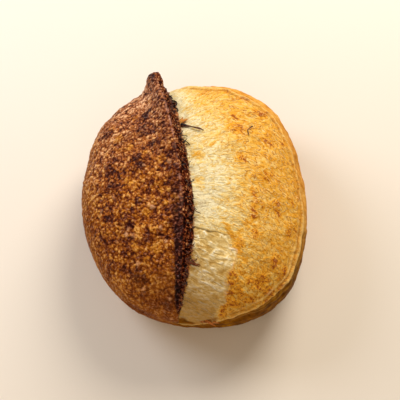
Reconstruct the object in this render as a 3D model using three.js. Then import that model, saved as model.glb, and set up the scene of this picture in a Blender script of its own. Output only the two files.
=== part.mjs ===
// A round sourdough loaf lying on its flat base. One long crescent score opened in
// the oven: the crust left of it lifted into an ear, the dough right of it swelled
// out into a wide bloom, and the old skin was pushed down to a lip round the side.
//
// Millimetres, +Z up. The score runs along Y, from the near end (-Y) to the far end
// (+Y), with the ear's flap on the -X side and the bloom on the +X side.

import * as THREE from 'three';
import { mergeVertices } from 'three/addons/utils/BufferGeometryUtils.js';

// Overall size
const loafWidth = 211;
const loafLength = 243;
const crownHeight = 106;     // top of the dome, not counting the ear
const bulgeHeight = 46;      // height of the widest ring
const bulgeWave = 2.5;       // how far that ring wanders up and down
const bulgeWaveShift = 0.6;
const domeFullness = 0.92;   // power of the dome's rise: under 1 is fuller than an ellipse
const footShare = 0.76;      // flat base against the widest ring
const undersideRoundness = 1.95;
const sectionRoundness = 1.15;   // radius of a section across the dome, against half its sides

// How the outline leaves a plain ellipse: swellings by compass direction, in degrees
const swellings = [
  { at: -42, spread: 26, share: 0.094 },
  { at: 48, spread: 24, share: 0.09 },
  { at: 72, spread: 26, share: 0.05 },
  { at: 138, spread: 24, share: 0.08 },
  { at: -150, spread: 28, share: -0.016 },
  { at: -95, spread: 26, share: -0.035 },
];
const roundCrown = 0.3;      // inside this share of the radius the plan stays an ellipse

// The score: where its two ends meet the widest ring, as a share of the half width,
// and how late it swings from the near line to the far one
const nearEndAcross = -0.128;
const farEndAcross = -0.36;
const swingPower = 3.8;
const midBow = 0.035;
const midWeave = 0.02;       // towards the bloom in the near half, away from it in the far half

// The ear
const earHeight = 23.3;      // at its highest, over the dome
const earPeakAt = 0.865;     // share of the way from the near end to the far end
const earRisePower = 2.05;
const earFoot = 62;          // how far down the flap the bend up to the crest starts
const earCurl = 2.4;         // how late that bend comes
const earEdge = 8;           // the last, steepest part of the bend
const earEdgeShare = 0.55;   // its share of the rise, where the ear is highest
const earLean = 0.4;         // share of the sideways lean of the surface that it keeps
const leanDoneAt = 6;        // lift by which that lean is reached
const crestThickness = 3.4;
const crestTaperFrom = 50;   // on sections shorter than this the crest narrows too

// The torn face under the crest, and the hollow at its foot
const tornWidth = 9;
const tornSteepness = 2;
const tornWander = 0.12;     // how much its width comes and goes, and how often
const tornWanderTurns = 23;
const tornWanderSwells = 9;
const tornTaperFrom = 40;
const hollowDepth = 1.5;
const hollowWidth = 22;

// The step in the bloom's near end
const stepAt = 0.37;
const stepBlend = 0.025;
const stepDrop = 1.6;
const stepReach = 34;
const stepFade = 0.15;       // it comes in over this share of the score

// The lip: the edge of the old skin, on the bloom's side, climbing towards the ear
const lipLevel = 0.05;       // share of the dome's height above the widest ring
const lipClimb = 0.7;        // the share it gains from the near end of the score to the far end
const lipHeight = 1.8;
const lipInside = 4;
const lipOutside = 2;
const lipEdge = 0.015;       // it dies away over this last share of the section
const lipNearTaper = 0.2;    // it comes down to the ring over these shares of the score
const lipFarTaper = 0.35;
const lipTaperFrom = 60;     // on sections shorter than this it is narrower too

// Slow unevenness of the whole crust
const waveDepth = 0.9;
const waveLength = 52;
const waveBend = 1.3;
const waveStretch = 0.6;
const waveCross = 0.8;
const waveShift = 0.9;
const waveFade = 0.2;        // the waves die away this near the widest ring

// Mesh counts
const rows = 56;
const flapColumns = 20;
const tornColumns = 4;
const bloomColumns = 22;
const lipColumns = [-4.5, -2, 0, 1.4, 3.2];   // distances from the lip's ridge
const skinColumns = 4;
const undersideRings = 6;
const crowding = 1.6;        // the flap's columns stand closer near the crest

const halfWidth = loafWidth / 2;
const halfLength = loafLength / 2;
const domeRise = crownHeight - bulgeHeight;
const domeRadius = (halfWidth + domeRise) / 2 * sectionRoundness;
const smallestAngle = 1e-6;
const nearEnd = new THREE.Vector3(nearEndAcross, -Math.sqrt(1 - nearEndAcross ** 2), 0);
const farEnd = new THREE.Vector3(farEndAcross, Math.sqrt(1 - farEndAcross ** 2), 0);

const { lerp, clamp, smoothstep, radToDeg } = THREE.MathUtils;

// A direction is a point of the unit half sphere: its X and Y say where it stands in
// plan, and its Z how far up the dome.

function outlineShare(direction) {
  const compass = radToDeg(Math.atan2(direction.y, direction.x));
  let share = 1;
  for (const swelling of swellings) {
    const away = THREE.MathUtils.euclideanModulo(compass - swelling.at + 180, 360) - 180;
    share += swelling.share * Math.exp(-((away / swelling.spread) ** 2));
  }
  return share;
}

function ringHeight(direction) {
  const compass = Math.atan2(direction.y, direction.x);
  return bulgeHeight + bulgeWave * Math.sin(2 * compass + bulgeWaveShift) * Math.cos(3 * compass);
}

// The crest of the ear at `along`, 0 at the near end and 1 at the far end
function crestDirection(along) {
  const way = (1 - Math.cos(Math.PI * along)) / 2;
  const y = lerp(nearEnd.y, farEnd.y, way);
  const bow = midBow * Math.sin(Math.PI * way) + midWeave * Math.sin(2 * Math.PI * way);
  const x = nearEnd.x + (farEnd.x - nearEnd.x) * way ** swingPower + bow;
  return new THREE.Vector3(x, y, Math.sqrt(Math.max(0, 1 - x * x - y * y)));
}

// The widest ring at `along`, on the bloom's side (+1) or the flap's side (-1)
function rimDirection(along, side) {
  const from = Math.atan2(nearEnd.y, nearEnd.x);
  const turn = Math.atan2(farEnd.y, farEnd.x) - from;
  const compass = side > 0 ? from + turn * along : from - (2 * Math.PI - turn) * along;
  return new THREE.Vector3(Math.cos(compass), Math.sin(compass), 0);
}

// The point a share of the way along the great circle from one direction to another
function between(start, end, share) {
  const angle = start.angleTo(end);
  if (angle < smallestAngle) return start.clone();
  const startWeight = Math.sin((1 - share) * angle) / Math.sin(angle);
  const endWeight = Math.sin(share * angle) / Math.sin(angle);
  return start.clone().multiplyScalar(startWeight).addScaledVector(end, endWeight);
}

// The dome without its relief
function domePoint(direction) {
  const plan = Math.hypot(direction.x, direction.y);
  const share = 1 + (outlineShare(direction) - 1) * smoothstep(plan, roundCrown, 1);
  return new THREE.Vector3(
    halfWidth * direction.x * share,
    halfLength * direction.y * share,
    lerp(ringHeight(direction), bulgeHeight, direction.z)
      + domeRise * Math.max(0, direction.z) ** domeFullness,
  );
}

function outward(direction) {
  return new THREE.Vector3(
    direction.x / halfWidth,
    direction.y / halfLength,
    direction.z / domeRise,
  ).normalize();
}

function earRise(along) {
  if (along < earPeakAt) return earHeight * (along / earPeakAt) ** earRisePower;
  const fall = (along - earPeakAt) / (1 - earPeakAt);
  return earHeight * Math.cos(fall * Math.PI / 2) ** 2;
}

function wave(point) {
  const turn = 2 * Math.PI / waveLength;
  const bent = turn * point.x + waveBend * Math.sin(waveStretch * turn * point.y);
  return waveDepth * Math.sin(bent) * Math.sin(waveCross * turn * point.y + waveShift);
}

// The length of one side's section at `along`, from the crest to the widest ring
function sectionLength(along, side) {
  return crestDirection(along).angleTo(rimDirection(along, side)) * domeRadius;
}

// Half the crest's thickness as a share of a section
function crestShare(length) {
  return crestThickness / 2 / Math.max(length, crestTaperFrom);
}

// The share of the bloom's section that the crest and the torn face take at `along`
function tornShare(along, length) {
  const wander = 1 + tornWander * Math.sin(tornWanderTurns * along)
    * Math.sin(tornWanderSwells * along + 1);
  return crestShare(length) + tornWidth * wander / Math.max(length, tornTaperFrom);
}

// Where the lip crosses the bloom's section at `along`
function lipShare(along, length) {
  const angle = length / domeRadius;
  const taper = smoothstep(along, 0, lipNearTaper) * smoothstep(1 - along, 0, lipFarTaper);
  const level = (lipLevel + lipClimb * along) * taper;
  return 1 - Math.asin(level * Math.sin(angle) / crestDirection(along).z) / angle;
}

// The flap: from the crest (across 0) to the widest ring (across 1)
function flapPoint(along, across, length) {
  const direction = between(crestDirection(along), rimDirection(along, -1), across);
  const down = Math.max(0, across - crestShare(length)) * length;
  const rise = earRise(along);
  const edgeShare = earEdgeShare * rise / earHeight;
  const bend = clamp(1 - down / earFoot, 0, 1) ** earCurl;
  const edge = 1 / (1 + (down / earEdge) ** 3);
  return raise(domePoint(direction), direction, rise * lerp(bend, edge, edgeShare));
}

// The bloom's side: torn face, swelling, lip, and the skin outside it
function bloomPoint(along, across, tornEnd, length) {
  const direction = between(crestDirection(along), rimDirection(along, 1), across);
  const torn = clamp((tornEnd - across) / (tornEnd - crestShare(length)), 0, 1);
  const beyond = Math.max(0, across - tornEnd) * length;
  let lift = earRise(along) * torn ** tornSteepness;
  lift -= hollowDepth * (1 - torn) * Math.exp(-beyond / hollowWidth) * Math.sin(Math.PI * along);
  const lowered = 1 - smoothstep(along, stepAt - stepBlend, stepAt + stepBlend);
  lift -= stepDrop * lowered * (1 - torn) * Math.exp(-((beyond / stepReach) ** 2))
    * smoothstep(along, 0, stepFade);
  const past = (across - lipShare(along, length)) * Math.max(length, lipTaperFrom);
  const lipSide = past < 0 ? lipInside : lipOutside;
  lift += lipHeight * Math.exp(-((past / lipSide) ** 2)) * smoothstep(1 - across, 0, lipEdge);
  return raise(domePoint(direction), direction, across < 1 ? lift : 0);
}

// Lifts a point off the dome, less sideways than straight out, and adds the waves
function raise(point, direction, lift) {
  const normal = outward(direction);
  const lean = lerp(1, earLean, clamp(lift / leanDoneAt, 0, 1));
  const away = new THREE.Vector3(normal.x * lean, normal.y, normal.z).normalize();
  const edge = smoothstep(direction.z, 0, waveFade);
  return point.addScaledVector(away, lift).addScaledVector(normal, wave(point) * edge);
}

// Below the widest ring the side rolls in to the flat base at depth 1
function undersidePoint(direction, depth) {
  const roll = Math.sqrt(Math.max(0, 1 - depth ** undersideRoundness));
  const share = outlineShare(direction) * lerp(footShare, 1, roll);
  return new THREE.Vector3(
    halfWidth * direction.x * share,
    halfLength * direction.y * share,
    ringHeight(direction) * (1 - depth),
  );
}

// One row across the loaf, from the flap's rim over the crest to the bloom's rim
function crossRow(along) {
  const row = [];
  const flapLength = sectionLength(along, -1);
  const flapStart = crestShare(flapLength);
  for (let i = flapColumns; i >= 0; i -= 1) {
    const across = lerp(flapStart, 1, (i / flapColumns) ** crowding);
    row.push(flapPoint(along, across, flapLength));
  }
  const bloomLength = sectionLength(along, 1);
  const tornStart = crestShare(bloomLength);
  const tornEnd = tornShare(along, bloomLength);
  const lip = lipShare(along, bloomLength);
  const lipStops = lipColumns.map((past) => Math.min(1, lip + past / Math.max(bloomLength, lipTaperFrom)));
  const stops = [];
  for (let i = 0; i < tornColumns; i += 1) stops.push(lerp(tornStart, tornEnd, i / tornColumns));
  for (let i = 0; i < bloomColumns; i += 1) stops.push(lerp(tornEnd, lipStops[0], i / bloomColumns));
  stops.push(...lipStops);
  for (let i = 1; i <= skinColumns; i += 1) stops.push(lerp(lipStops.at(-1), 1, i / skinColumns));
  for (const across of stops) row.push(bloomPoint(along, across, tornEnd, bloomLength));
  return row;
}

function loafGeometry() {
  const positions = [];
  const triangles = [];
  const add = (point) => positions.push(point.x, point.y, point.z) / 3 - 1;
  const quad = (a, b, c, d) => triangles.push(a, b, c, a, c, d);

  // The dome: rows between the two ends of the score
  const nearPoint = add(undersidePoint(nearEnd, 0));
  const farPoint = add(undersidePoint(farEnd, 0));
  const grid = [];
  for (let i = 1; i < rows; i += 1) grid.push(crossRow(i / rows).map(add));
  const last = grid[0].length - 1;
  for (let i = 0; i < grid.length - 1; i += 1) {
    for (let j = 0; j < last; j += 1) {
      quad(grid[i][j], grid[i][j + 1], grid[i + 1][j + 1], grid[i + 1][j]);
    }
  }
  for (let j = 0; j < last; j += 1) {
    triangles.push(nearPoint, grid[0][j + 1], grid[0][j]);
    triangles.push(farPoint, grid.at(-1)[j], grid.at(-1)[j + 1]);
  }

  // The side and the base: rings that follow the widest ring, seen anticlockwise from above
  const compass = [nearEnd];
  let ring = [nearPoint];
  for (let i = 1; i < rows; i += 1) {
    compass.push(rimDirection(i / rows, 1));
    ring.push(grid[i - 1][last]);
  }
  compass.push(farEnd);
  ring.push(farPoint);
  for (let i = rows - 1; i > 0; i -= 1) {
    compass.push(rimDirection(i / rows, -1));
    ring.push(grid[i - 1][0]);
  }
  for (let level = 1; level <= undersideRings; level += 1) {
    const depth = Math.sin(level / undersideRings * Math.PI / 2);
    const lower = compass.map((direction) => add(undersidePoint(direction, depth)));
    ring.forEach((upper, i) => {
      const next = (i + 1) % ring.length;
      quad(upper, lower[i], lower[next], ring[next]);
    });
    ring = lower;
  }
  const middle = add(new THREE.Vector3(0, 0, 0));
  ring.forEach((point, i) => triangles.push(middle, ring[(i + 1) % ring.length], point));

  const geometry = new THREE.BufferGeometry();
  geometry.setAttribute('position', new THREE.Float32BufferAttribute(positions, 3));
  geometry.setIndex(triangles);
  return mergeVertices(geometry, 1e-3);
}

const crust = new THREE.MeshStandardMaterial({ color: '#b0712f', roughness: 0.72, metalness: 0 });

const geometry = loafGeometry();
geometry.computeBoundingBox();
const centre = geometry.boundingBox.getCenter(new THREE.Vector3());
geometry.translate(-centre.x, -centre.y, 0);
geometry.computeVertexNormals();

const loaf = new THREE.Mesh(geometry, crust);
loaf.name = 'loaf';

const group = new THREE.Group();
group.add(loaf);

export default group;
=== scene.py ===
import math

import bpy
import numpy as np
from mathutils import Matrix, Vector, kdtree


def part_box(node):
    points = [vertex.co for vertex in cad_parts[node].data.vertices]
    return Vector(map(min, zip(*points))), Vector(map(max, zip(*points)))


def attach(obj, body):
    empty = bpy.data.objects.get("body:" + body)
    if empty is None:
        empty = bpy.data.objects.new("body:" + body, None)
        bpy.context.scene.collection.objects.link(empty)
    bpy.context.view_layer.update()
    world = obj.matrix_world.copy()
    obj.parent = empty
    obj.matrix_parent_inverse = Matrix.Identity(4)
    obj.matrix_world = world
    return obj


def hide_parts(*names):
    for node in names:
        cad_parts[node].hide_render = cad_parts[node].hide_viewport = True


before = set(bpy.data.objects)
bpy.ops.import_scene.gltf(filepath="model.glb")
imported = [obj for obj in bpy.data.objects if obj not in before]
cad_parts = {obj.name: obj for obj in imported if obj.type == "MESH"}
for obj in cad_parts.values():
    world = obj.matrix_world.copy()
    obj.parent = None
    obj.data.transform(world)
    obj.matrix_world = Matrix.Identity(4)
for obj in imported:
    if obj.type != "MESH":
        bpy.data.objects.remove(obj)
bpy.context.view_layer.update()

# A round sourdough loaf on its flat base: the ear's dark flap on the -X side of one long
# score, the golden bloom on the +X side, and the old skin pushed down to a lip round it.
# The loaf is shaped in millimetres and only its finished meshes are turned into metres.

millimetre = 0.001
scoreLength = 300   # about how long the score is, to turn a share of it into millimetres


def smooth(low, high, value):
    share = np.clip((value - low) / (high - low), 0, 1)
    return share * share * (3 - 2 * share)


def mixed(low, high, share):
    return low + (high - low) * share


def hump(value, width):
    return np.exp(-(value / width) ** 2)


# Lattice noise, mostly from -1 to 1, with features about `size` millimetres across
def noise(points, size, seed=0, octaves=1):
    total = np.zeros(len(points))
    reach = 0
    for octave in range(octaves):
        table = np.random.default_rng(seed * 31 + octave).uniform(-1, 1, 8192)
        place = points * (2 ** octave / size) + 17.3 * (seed + 1)
        cell = np.floor(place).astype(np.int64)
        part = place - cell
        part = part * part * (3 - 2 * part)
        value = np.zeros(len(points))
        for corner in np.ndindex(2, 2, 2):
            at = cell + corner
            entry = (at[:, 0] * 73856093 ^ at[:, 1] * 19349663 ^ at[:, 2] * 83492791) & 8191
            weight = np.prod(np.where(corner, part, 1 - part), axis=1)
            value += weight * table[entry]
        strength = 0.5 ** octave
        reach += strength
        total += value * strength
    return total / reach * 1.5


def linear(hexColour):
    parts = [int(hexColour[i:i + 2], 16) / 255 for i in (1, 3, 5)]
    return [p / 12.92 if p <= 0.04045 else ((p + 0.055) / 1.055) ** 2.4 for p in parts] + [1.0]


# A texture's scale for features of a real size in millimetres
def scaleFor(size):
    return 1 / (size * millimetre)


# Adds one node, with its settings, its inputs (a value or another node's output) and, for a
# colour ramp, its stops, and gives back the output that the next node takes
def addNode(tree, kind, inputs=None, out=0, stops=None, **settings):
    made = tree.nodes.new("ShaderNode" + kind)
    for name, value in settings.items():
        setattr(made, name, value)
    for place, source in (inputs or {}).items():
        if isinstance(source, bpy.types.NodeSocket):
            tree.links.new(source, made.inputs[place])
        else:
            made.inputs[place].default_value = source
    if stops:
        ramp = made.color_ramp
        while len(ramp.elements) < len(stops):
            ramp.elements.new(0.5)
        for element, (position, hexColour) in zip(ramp.elements, stops):
            element.position = position
            element.color = linear(hexColour)
    return made.outputs[out]


# The loaf's form, the same as the solid's
loafForm = dict(
    width=211, length=243, crown=106,
    bulge=46, bulgeWave=2.5, bulgeWaveShift=0.6,   # the widest ring's height, and its wander
    fullness=0.92,                                 # power of the dome's rise
    foot=0.76, undersideRoundness=1.95,            # flat base against the widest ring
    sectionRoundness=1.15,
    roundCrown=0.3,                                # the plan stays an ellipse inside this
    swellings=[                                    # compass direction, spread, share
        (-42, 26, 0.094), (48, 24, 0.09), (72, 26, 0.05),
        (138, 24, 0.08), (-150, 28, -0.016), (-95, 26, -0.035)],
    waveDepth=0.9, waveLength=52, waveBend=1.3, waveStretch=0.6, waveCross=0.8,
    waveShift=0.9, waveFade=0.2,
)

scoreForm = dict(
    nearAcross=-0.128, farAcross=-0.36, swingPower=3.8, bow=0.035, weave=0.02,
    earHeight=23.3, peakAt=0.865, risePower=2.05,
    earFoot=62, earCurl=2.4, earEdge=8, earEdgeShare=0.55, earLean=0.4, leanDoneAt=6,
    crestThickness=3.4, crestTaperFrom=50,
    tornWidth=9, tornSteepness=2, tornWander=0.12, tornTurns=23, tornSwells=9, tornTaperFrom=40,
    hollowDepth=1.5, hollowWidth=22,
    stepAt=0.37, stepBlend=0.012, stepDrop=1.6, stepReach=34, stepFade=0.15,
    lipLevel=0.05, lipClimb=0.7, lipHeight=1.8, lipInside=4, lipOutside=2, lipEdge=0.015,
    lipNearTaper=0.2, lipFarTaper=0.35, lipTaperFrom=60,
)

halfWidth = loafForm["width"] / 2
halfLength = loafForm["length"] / 2
domeRise = loafForm["crown"] - loafForm["bulge"]
domeRadius = (halfWidth + domeRise) / 2 * loafForm["sectionRoundness"]
nearEnd = np.array([scoreForm["nearAcross"], -math.sqrt(1 - scoreForm["nearAcross"] ** 2), 0])
farEnd = np.array([scoreForm["farAcross"], math.sqrt(1 - scoreForm["farAcross"] ** 2), 0])


# What follows takes whole arrays. A direction is a point of the unit half sphere: its X and
# Y say where it stands in plan, and its Z how far up the dome.
def outlineShare(direction):
    compass = np.degrees(np.arctan2(direction[:, 1], direction[:, 0]))
    share = np.ones(len(direction))
    for at, spread, extra in loafForm["swellings"]:
        share += extra * hump((compass - at + 180) % 360 - 180, spread)
    return share


def ringHeight(direction):
    compass = np.arctan2(direction[:, 1], direction[:, 0])
    wander = np.sin(2 * compass + loafForm["bulgeWaveShift"]) * np.cos(3 * compass)
    return loafForm["bulge"] + loafForm["bulgeWave"] * wander


def crestDirection(along):
    way = (1 - np.cos(np.pi * along)) / 2
    y = mixed(nearEnd[1], farEnd[1], way)
    bow = scoreForm["bow"] * np.sin(np.pi * way) + scoreForm["weave"] * np.sin(2 * np.pi * way)
    x = mixed(nearEnd[0], farEnd[0], way ** scoreForm["swingPower"]) + bow
    return np.stack([x, y, np.sqrt(np.maximum(0, 1 - x * x - y * y))], axis=1)


def rimDirection(along, side):
    start = math.atan2(nearEnd[1], nearEnd[0])
    turn = math.atan2(farEnd[1], farEnd[0]) - start
    compass = start + np.where(side > 0, turn, turn - 2 * np.pi) * along
    return np.stack([np.cos(compass), np.sin(compass), 0 * compass], axis=1)


def angleBetween(start, end):
    return np.arccos(np.clip(np.sum(start * end, axis=1), -1, 1))


def between(start, end, share):
    angle = np.maximum(angleBetween(start, end), 1e-6)
    startWeight = np.sin((1 - share) * angle) / np.sin(angle)
    endWeight = np.sin(share * angle) / np.sin(angle)
    return start * startWeight[:, None] + end * endWeight[:, None]


def domePoint(direction):
    plan = np.hypot(direction[:, 0], direction[:, 1])
    share = 1 + (outlineShare(direction) - 1) * smooth(loafForm["roundCrown"], 1, plan)
    up = np.maximum(0, direction[:, 2])
    height = mixed(ringHeight(direction), loafForm["bulge"], up)
    return np.stack([
        halfWidth * direction[:, 0] * share,
        halfLength * direction[:, 1] * share,
        height + domeRise * up ** loafForm["fullness"],
    ], axis=1)


def undersidePoint(direction, depth):
    roll = np.sqrt(np.maximum(0, 1 - depth ** loafForm["undersideRoundness"]))
    share = outlineShare(direction) * mixed(loafForm["foot"], 1, roll)
    return np.stack([
        halfWidth * direction[:, 0] * share,
        halfLength * direction[:, 1] * share,
        ringHeight(direction) * (1 - depth),
    ], axis=1)


def earRise(along):
    peak = scoreForm["peakAt"]
    fall = np.cos(np.clip((along - peak) / (1 - peak), 0, 1) * np.pi / 2) ** 2
    return scoreForm["earHeight"] * np.where(along < peak, (along / peak) ** scoreForm["risePower"], fall)


def sectionLength(along, side):
    return angleBetween(crestDirection(along), rimDirection(along, side)) * domeRadius


def crestShare(length):
    return scoreForm["crestThickness"] / 2 / np.maximum(length, scoreForm["crestTaperFrom"])


def tornShare(along, length):
    wander = np.sin(scoreForm["tornTurns"] * along) * np.sin(scoreForm["tornSwells"] * along + 1)
    width = scoreForm["tornWidth"] * (1 + scoreForm["tornWander"] * wander)
    return crestShare(length) + width / np.maximum(length, scoreForm["tornTaperFrom"])


def lipShare(along, length):
    angle = np.maximum(length / domeRadius, 1e-6)
    tapers = smooth(0, scoreForm["lipNearTaper"], along) * smooth(0, scoreForm["lipFarTaper"], 1 - along)
    crestHeight = np.maximum(crestDirection(along)[:, 2], 1e-6)
    level = scoreForm["lipLevel"] + scoreForm["lipClimb"] * along
    level = level * tapers * np.sin(angle) / crestHeight
    return 1 - np.arcsin(np.clip(level, 0, 1)) / angle


def flapLift(along, down):
    rise = earRise(along)
    bend = np.clip(1 - down / scoreForm["earFoot"], 0, 1) ** scoreForm["earCurl"]
    edge = 1 / (1 + (down / scoreForm["earEdge"]) ** 3)
    return rise * mixed(bend, edge, scoreForm["earEdgeShare"] * rise / scoreForm["earHeight"])


def bloomLift(along, across, torn, beyond, pastLip):
    lift = earRise(along) * torn ** scoreForm["tornSteepness"]
    hollow = scoreForm["hollowDepth"] * np.exp(-beyond / scoreForm["hollowWidth"])
    lift -= hollow * (1 - torn) * np.sin(np.pi * along)
    lowered = 1 - smooth(-scoreForm["stepBlend"], scoreForm["stepBlend"], along - scoreForm["stepAt"])
    lowered *= smooth(0, scoreForm["stepFade"], along)
    lift -= scoreForm["stepDrop"] * lowered * (1 - torn) * hump(beyond, scoreForm["stepReach"])
    lipSide = np.where(pastLip < 0, scoreForm["lipInside"], scoreForm["lipOutside"])
    lipFade = smooth(0, scoreForm["lipEdge"], 1 - across)
    return lift + scoreForm["lipHeight"] * hump(pastLip, lipSide) * lipFade


def raised(points, direction, lift):
    normal = direction / [halfWidth, halfLength, domeRise]
    normal /= np.linalg.norm(normal, axis=1, keepdims=True)
    lean = mixed(1, scoreForm["earLean"], np.clip(lift / scoreForm["leanDoneAt"], 0, 1))
    away = normal * np.stack([lean, 0 * lean + 1, 0 * lean + 1], axis=1)
    away /= np.linalg.norm(away, axis=1, keepdims=True)
    turn = 2 * np.pi / loafForm["waveLength"]
    bent = turn * points[:, 0] + loafForm["waveBend"] * np.sin(loafForm["waveStretch"] * turn * points[:, 1])
    wave = np.sin(bent) * np.sin(loafForm["waveCross"] * turn * points[:, 1] + loafForm["waveShift"])
    wave *= loafForm["waveDepth"] * smooth(0, loafForm["waveFade"], direction[:, 2])
    return points + away * lift[:, None] + normal * wave[:, None]


# The plain form at every spot, and how far each spot lies from the features of the score
def shapedLoaf(along, side, across, depth, foot):
    direction = between(crestDirection(along), rimDirection(along, side), across)
    length = sectionLength(along, side)
    crest, tornEnd = crestShare(length), tornShare(along, length)
    onBloom = side > 0
    spot = dict(direction=direction)
    spot["torn"] = np.where(onBloom, np.clip((tornEnd - across) / (tornEnd - crest), 0, 1), 0)
    spot["beyond"] = np.where(onBloom, np.maximum(0, across - tornEnd) * length, 0)
    spot["past"] = np.where(onBloom, (across - crest) * np.maximum(length, scoreForm["tornTaperFrom"]), 0)
    spot["down"] = np.where(onBloom, 0, np.maximum(0, across - crest) * length)
    spot["fromCrest"] = across * length
    pastLip = (across - lipShare(along, length)) * np.maximum(length, scoreForm["lipTaperFrom"])
    spot["pastLip"] = np.where(onBloom, pastLip, -100)
    onBloomLift = bloomLift(along, across, spot["torn"], spot["beyond"], pastLip)
    lift = np.where(onBloom, onBloomLift, flapLift(along, spot["down"]))
    lift = np.where(across < 1, lift, 0)
    form = raised(domePoint(direction), direction, lift)
    under = depth > 0
    form[under] = undersidePoint(direction[under], depth[under])
    form[under, :2] *= foot[under, None]
    return form, spot


# The mesh: rows across the dome, rings down the side, and the base
meshGrain = dict(dome=1.0, torn=0.6, side=2.3)     # spacing of the vertices
sideLength = 72                                    # from the widest ring to the base's edge
footRings = (0.95, 0.88, 0.78, 0.65, 0.5, 0.3, 0.12)   # on the base, as shares of its edge


class LoafMesh:
    def __init__(self):
        self.spots = []
        self.faces = []

    def add(self, along, side, across, depth=0.0, foot=1.0):
        self.spots.append((along, side, across, depth, foot))
        return len(self.spots) - 1

    # Fills between two runs of vertices that go the same way, whatever their counts
    def stitch(self, lower, upper):
        lowerLast, upperLast = len(lower) - 1, len(upper) - 1
        i = j = 0
        while i < lowerLast or j < upperLast:
            if j == upperLast or (i < lowerLast and (i + 1) * upperLast <= (j + 1) * lowerLast):
                self.faces.append((lower[i], lower[i + 1], upper[j]))
                i += 1
            else:
                self.faces.append((lower[i], upper[j + 1], upper[j]))
                j += 1


# Places along the score at even steps over the dome
def rowPlaces():
    fine = np.linspace(0, 1, 2001)
    side = np.ones(len(fine))
    line = domePoint(between(crestDirection(fine), rimDirection(fine, side), 0.4 * side))
    steps = np.linalg.norm(np.diff(line, axis=0), axis=1)
    length = np.concatenate([[0], np.cumsum(steps)])
    count = int(length[-1] / meshGrain["dome"])
    return np.interp(np.linspace(0, length[-1], count + 1), length, fine)[1:-1]


def addDome(mesh, places):
    ones = np.ones(len(places))
    flapLength = sectionLength(places, -ones)
    bloomLength = sectionLength(places, ones)
    tornEnd = tornShare(places, bloomLength)
    lip = lipShare(places, bloomLength)
    near, far = mesh.add(0, 1, 1), mesh.add(1, 1, 1)
    before = [[near]] * 6
    rim = {-1: [], 1: []}
    for i, along in enumerate(places):
        flapCrest, bloomCrest = crestShare(flapLength[i]), crestShare(bloomLength[i])
        runs = [   # side, start, end, length of the section, spacing
            (-1, 1, flapCrest, flapLength[i], meshGrain["dome"]),
            (-1, flapCrest, 0, flapLength[i], meshGrain["torn"]),
            (1, 0, bloomCrest, bloomLength[i], meshGrain["torn"]),
            (1, bloomCrest, tornEnd[i], bloomLength[i], meshGrain["torn"]),
            (1, tornEnd[i], lip[i], bloomLength[i], meshGrain["dome"]),
            (1, lip[i], 1, bloomLength[i], meshGrain["dome"]),
        ]
        row = []
        last = mesh.add(along, -1, 1)
        rim[-1].append(last)
        for side, start, end, length, spacing in runs:
            count = max(1, round(abs(end - start) * length / spacing))
            steps = [mixed(start, end, k / count) for k in range(1, count + 1)]
            run = [last] + [mesh.add(along, side, across) for across in steps]
            last = run[-1]
            row.append(run)
        rim[1].append(last)
        for lower, upper in zip(before, row):
            mesh.stitch(lower, upper)
        before = row
    for lower in before:
        mesh.stitch(lower, [far])
    return [near] + rim[1] + [far] + rim[-1][::-1]


def addUnderside(mesh, rim):
    count = int(sideLength / meshGrain["side"])
    upper = rim
    ring = rim[::2]
    for level in range(1, count + 1):
        depth = math.sin(level / count * math.pi / 2)
        lower = [mesh.add(*mesh.spots[v][:2], 1, depth) for v in ring]
        mesh.stitch(lower + lower[:1], upper + upper[:1])
        upper = lower
    for foot in footRings:
        every = 1 if foot == footRings[0] else 2
        inner = [mesh.add(*mesh.spots[v][:2], 1, 1, foot) for v in upper[::every]]
        mesh.stitch(inner + inner[:1], upper + upper[:1])
        upper = inner
    middle = mesh.add(0, 1, 1, 1, 0)
    mesh.stitch([middle], upper + upper[:1])


loafMesh = LoafMesh()
addUnderside(loafMesh, addDome(loafMesh, rowPlaces()))
along, side, across, depth, foot = np.array(loafMesh.spots, float).T
faces = np.array(loafMesh.faces)
form, spot = shapedLoaf(along, side, across, depth, foot)
onBloom = side > 0
print("loaf mesh:", len(form), "vertices,", len(faces), "triangles")


def vertexNormals(points):
    a, b, c = (points[faces[:, i]] for i in range(3))
    facing = np.cross(b - a, c - a)
    normals = np.zeros_like(points)
    for i in range(3):
        np.add.at(normals, faces[:, i], facing)
    return normals / np.maximum(np.linalg.norm(normals, axis=1, keepdims=True), 1e-9)


normals = vertexNormals(form)

# The crust's relief along the normals, in millimetres
crustRelief = dict(
    swell=0.5, swellSize=16,        # slow lumps everywhere
    cobble=0.4, cobbleSize=3.0,     # the flap's fine cobbled skin
    blisters=6500, blisterRadius=(0.8, 2.0), blisterHeight=0.85,
    bigBlisters=90, bigRadius=(2.4, 5.0), bigHeight=0.9,
    paleBlisters=70, paleRadius=(1.3, 2.6), paleHeight=1.0,
    rags=1.2, ragSize=4.5,          # the torn face
    strands=0.22, strandLength=14, strandWidth=2.0, strandReach=55,
    wrinkles=0.12, wrinkleLength=26, wrinkleWidth=1.5,
    skins=0.5,                      # thin torn skins on the bloom
    web=0.7, webSize=3.2,           # crinkled crumb in the bloom's near end
    knobs=0.85,                     # rough browned crust beside that crumb
    mottle=0.4, mottleSize=3.6,
    sweep=0.0014,                   # how fast the bloom's streaks turn towards the near end
    pleats=0.6, pleatSize=2.2,      # the old skin round the lip
)

# How wide the tear looks: its dark face, with a notch and a knobbly stretch towards the
# ear's tip, and the dark band on the flap beside the crest
tear = dict(
    width=7.3, opensBy=0.42, rag=2.0,
    notchAt=0.665, notchWidth=0.022, notchDepth=2.0,
    knobbly=1.6, knobblySize=5, knobblyRelief=1.3, knobblyGrain=5.5,
    bandWidth=2.0, bandSpread=11, bandBlur=(1.2, 4.5), bandWander=(0.9, 3.5), bandDark=0.45,
)

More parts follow.
